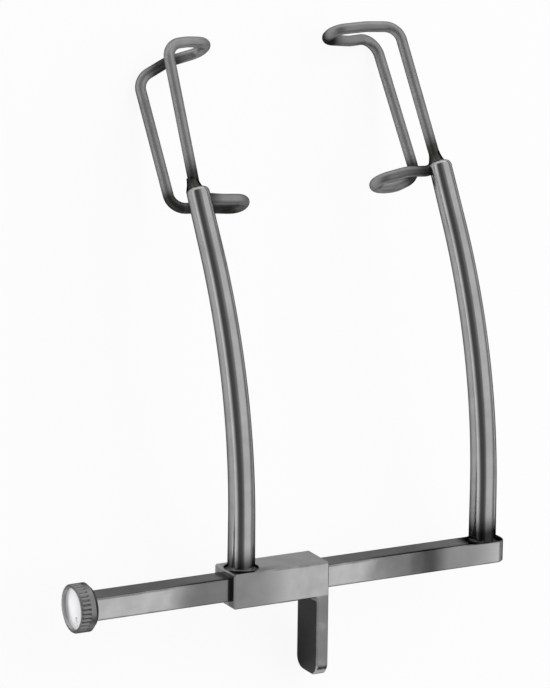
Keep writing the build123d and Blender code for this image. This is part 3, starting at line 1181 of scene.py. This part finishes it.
@dataclass(frozen=True)
class Studio:
    """Pale floor, soft surroundings, lamps and the camera.

    Attributes:
        floor_half: Half the floor's width, in metres.
        floor_below: How far under the speculum it lies, in metres.
        floor_grey: Brightness of the floor's own colour.
        floor_white_seen: Share of plain white in what the camera sees of the floor.
        floor_white_mirrored: Share of plain white in what the steel mirrors of it.
        dark: Brightness of the dark band overhead, which runs the way of the arms.
        left: Brightness towards the end knob.
        right: Brightness behind the key softbox.
        right_horizon: Brightness low down past the crossbar's free end.
        dark_band_deg: Edges of the dark band, leaning from straight up towards the
            crossbar's free end.
        left_light_deg: Where the light on the end knob's side is full.
        right_light_deg: Where the light on the other side is full.
        right_horizon_deg: Where the light there starts to fall and where it is lowest.
        front_dark_range: How far a direction points past the thumb tab, from 0 to 1,
            where the darkening there starts and where it is full.
        front_dark_share: How far it is darkened there.
        lamps: The softboxes.
        dish_card: Small card that lights the end knob's dish from the floor.
    """

    floor_half: float = 1.5
    floor_below: float = 1e-5
    floor_grey: float = 0.8
    floor_white_seen: float = 0.92
    floor_white_mirrored: float = 0.03
    dark: float = 0.1
    left: float = 1.08
    right: float = 0.42
    right_horizon: float = 0.3
    dark_band_deg: Pair = (-54.0, -34.0)
    left_light_deg: float = -84.0
    right_light_deg: float = 14.0
    right_horizon_deg: Pair = (50.0, 90.0)
    front_dark_range: Pair = (0.68, 0.88)
    front_dark_share: float = 0.85
    lamps: tuple[Softbox, ...] = (
        Softbox("key_softbox", (0.55, -0.1, 0.82), 0.5, 0.95, 0.62, 0.4),
        Softbox("end_softbox", (0.1, 0.93, 0.36), 0.6, 0.9, 0.4, 0.7),
        Softbox("floor_softbox", (0.75, 0.1, 0.65), 0.5, 0.9, 0.5, 1.9, mirrored=False),
    )
    dish_card: Softbox = Softbox("dish_card", (-0.448, 0.071, -0.891), 0.005, 0.003, 0.005, 1.0)

    def build(self, pose: LyingPose) -> None:
        """Set up everything round the speculum."""
        low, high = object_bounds()
        self.lay_floor()
        self.paint_surroundings()
        for lamp in self.lamps:
            lamp.place((low + high) / 2)
        self.dish_card.place(Vector(pose.axis_start))
        bpy.context.scene.view_settings.view_transform = "Standard"

    def lay_floor(self) -> None:
        """Lay the plain pale floor just under the speculum."""
        half, low = self.floor_half, -self.floor_below
        mesh = bpy.data.meshes.new("floor")
        corners = [(-half, -half, low), (half, -half, low), (half, half, low), (-half, half, low)]
        mesh.from_pydata(corners, [], [(0, 1, 2, 3)])
        floor = add_object("floor", mesh)
        material = bpy.data.materials.new("pale_floor")
        material.use_nodes = True
        sheet = NodeSheet(material.node_tree)
        matt = sheet.add("ShaderNodeBsdfDiffuse", {}, {"Color": opaque_grey(self.floor_grey)})
        white = sheet.add("ShaderNodeEmission", {}, {"Color": opaque_grey(1.0), "Strength": 1.0})
        ray = sheet.add("ShaderNodeLightPath").outputs
        seen, mirrored, through = (
            Varying(sheet, ray[f"Is {kind} Ray"]) for kind in ("Camera", "Glossy", "Transmission")
        )
        share = seen * self.floor_white_seen + (mirrored + through) * self.floor_white_mirrored
        sheet.show_blend("ShaderNodeOutputMaterial", share, matt, white)
        mesh.materials.append(material)
        floor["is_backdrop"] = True

    def paint_surroundings(self) -> None:
        """Surround it with soft grey that is dark on one side and white to the camera."""
        world = bpy.data.worlds.new("studio")
        bpy.context.scene.world = world
        world.use_nodes = True
        sheet = NodeSheet(world.node_tree)
        right, back, up = sheet.parts(sheet.add("ShaderNodeTexCoord").outputs["Generated"])
        lean = sheet.maths("ARCTAN2", right, up) * (180 / math.pi)
        first, last = self.dark_band_deg
        on_left = 1 - lean.rise(self.left_light_deg, first)
        on_right = lean.rise(last, self.right_light_deg)
        low_right = lean.rise(*self.right_horizon_deg)
        grey = self.dark + on_left * (self.left - self.dark) + on_right * (self.right - self.dark)
        grey = grey - low_right * (self.right - self.right_horizon)
        grey = grey * (1 - (0 - back).rise(*self.front_dark_range) * self.front_dark_share)
        soft, white = (
            sheet.add("ShaderNodeBackground", {}, {"Color": opaque_grey(1.0), "Strength": strength})
            for strength in (grey, 1.0)
        )
        seen = sheet.add("ShaderNodeLightPath").outputs["Is Camera Ray"]
        sheet.show_blend("ShaderNodeOutputWorld", seen, soft, white)


@dataclass(frozen=True)
class PhotoCamera:
    """Camera at the photograph's own angle to the speculum.

    Attributes:
        azimuth_deg: Turn round the standing speculum, from its front towards the fixed arm.
        elevation_deg: Height above the crossbar's level.
        distance: Distance from the aim, in millimetres.
        aim: Drawn point in the middle of the picture.
        focal_pixels: Focal length in the photograph's pixels.
        picture_height: The photograph's longer side, in pixels.
        sensor: Sensor's longer side, in millimetres.
        clip: Nearest and farthest distance that it sees, in metres.
    """

    azimuth_deg: float = -27.661
    elevation_deg: float = 15.144
    roll_deg: float = 0.749
    distance: float = 592.63
    aim: Triple = (23.864, 0.037, 26.31)
    focal_pixels: float = 5568.7
    picture_height: float = 688.0
    sensor: float = 36.0
    clip: Pair = (0.05, 10.0)

    def place(self, pose: LyingPose) -> None:
        """Set the camera up where the photograph's camera was."""
        around, up = math.radians(self.azimuth_deg), math.radians(self.elevation_deg)
        roll = math.radians(self.roll_deg)
        away = np.array([math.cos(up) * math.sin(around), -math.cos(up) * math.cos(around), math.sin(up)])
        level = np.array([math.cos(around), math.sin(around), 0.0])
        upright = np.cross(away, level)
        right = math.cos(roll) * level + math.sin(roll) * upright
        top = math.cos(roll) * upright - math.sin(roll) * level
        turn = Matrix(pose.directions(np.stack([right, top, away])).T.tolist()).to_4x4()
        place = pose.points(np.array(self.aim) + away * self.distance)
        lens = bpy.data.cameras.new("photo_camera")
        lens.sensor_width = self.sensor
        lens.lens = self.focal_pixels * self.sensor / self.picture_height
        lens.clip_start, lens.clip_end = self.clip
        camera = add_object("photo_camera", lens)
        camera.matrix_world = Matrix.Translation(place.tolist()) @ turn
        bpy.context.scene.camera = camera


BAR_STEEL = SteelFinish(
    "polished_steel",
    0.62,
    0.2,
    Grain.ALONG_BAR,
    edge_tint=0.0,
    # painted_shade_zones: painted shade on the crossbar's front.
    painted_shade_zones=((16.5, 7.0, 0.62), (39.5, 6.0, 0.6), (45.5, 6.0, 0.42), (52.3, 1.2, 0.75)),
    half_section=(1.5, 1.25),
    # foot: brazing darkening and painted contact shadow round the fixed arm's foot.
    foot=(49.8, 0.0, 1.25),
    foot_reach=3.4,
)
SLEEVE_STEEL = SteelFinish(
    "slide_steel",
    0.58,
    0.24,
    Grain.ALONG_BAR,
    edge_tint=0.45,
    # painted_shade_zones: painted shade on the sleeve's front.
    painted_shade_zones=((18.1, 7.0, 0.45),),
    # side_shade_below: painted shade on the thumb tab's sides.
    side_shade_below=-2.4,
    half_section=(2.35, 1.95),
    # foot: brazing darkening and painted contact shadow round the sliding arm's foot.
    foot=(20.1, 0.0, 1.95),
    foot_reach=2.2,
)
KNOB_STEEL = SteelFinish("knob_steel", 0.31, 0.36, Grain.ALONG_ROD, line_size=0.05)
# The dish's near-white grey is a painted reflection: a lit copy of the knob's steel.
DISH_STEEL = SteelFinish("dish_steel", 0.92, 0.42, Grain.ALONG_ROD, line_size=0.05, cloud_share=0.04)
ARM_STEEL = SteelFinish("arm_steel", 0.52, 0.17, Grain.ALONG_ROD, heat_and_shade_grey=0.04)
# heat_and_shade_grey here is also the colour of the shade painted on the hooks.
WIRE_STEEL = SteelFinish("wire_steel", 0.42, 0.48, Grain.ALONG_ROD, heat_and_shade_grey=0.07)

SLIDING_ARM = BowedArm(Side.SLIDING, "sleeve", x=20.1, foot=1.95, seat_depth=4.4, spigot_length=0.45)
FIXED_ARM = BowedArm(
    Side.FIXED, "bar", x=49.8, foot=1.25, seat_depth=2.76, spigot_length=1.5, foot_heat_reach=2.7
)
SLIDING_BEND = HandBend(
    front_top=(0.15, 0.1, 1.2),
    tip_top=(0.15, -0.85, -0.45),
    back_top=(-1.3, 0.47, -0.1),
    back_bottom=(0.3, -0.15, -0.4),
    tip_bottom=(-0.55, -0.7, -0.65),
    front_top_arch=0.2,
    back_top_arch=0.5,
    back_bottom_arch=0.1,
    front_bottom_arch=-0.1,
    top_shade=(0.45, 1.9),
    bottom_shade=(0.6, 3.6),
)
FIXED_BEND = HandBend(
    front_top=(-0.5, -0.35, 0.4),
    tip_top=(0.35, -0.45, 0.45),
    back_top=(0.85, 0.2, 0.1),
    back_bottom=(0.65, -0.95, 0.25),
    tip_bottom=(0.6, 0.85, -0.9),
    front_top_arch=0.2,
    back_top_arch=-0.3,
    back_bottom_arch=-0.6,
    front_bottom_arch=0.45,
    top_shade=(1.0, 1.7),
    bottom_shade=(0.1, 1.0),
)


def main(frame: dict) -> None:
    """Build and dress every piece, then the studio and the camera.
    """
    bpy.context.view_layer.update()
    pose = LyingPose.from_solids()
    MilledPiece("crossbar").dress(frame, BAR_STEEL, pose)
    MilledPiece("slide").dress(frame, SLEEVE_STEEL, pose)
    EndKnob().build(KNOB_STEEL, DISH_STEEL, pose)
    for arm, bend in ((SLIDING_ARM, SLIDING_BEND), (FIXED_ARM, FIXED_BEND)):
        blade = WireBlade(arm, bend)
        blade.build(WIRE_STEEL, pose)
        arm.build(blade, ARM_STEEL, pose)
    Studio().build(pose)
    PhotoCamera().place(pose)


if __name__ == "__main__":
    logging.basicConfig(level=logging.INFO, format="%(message)s")
    main(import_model())
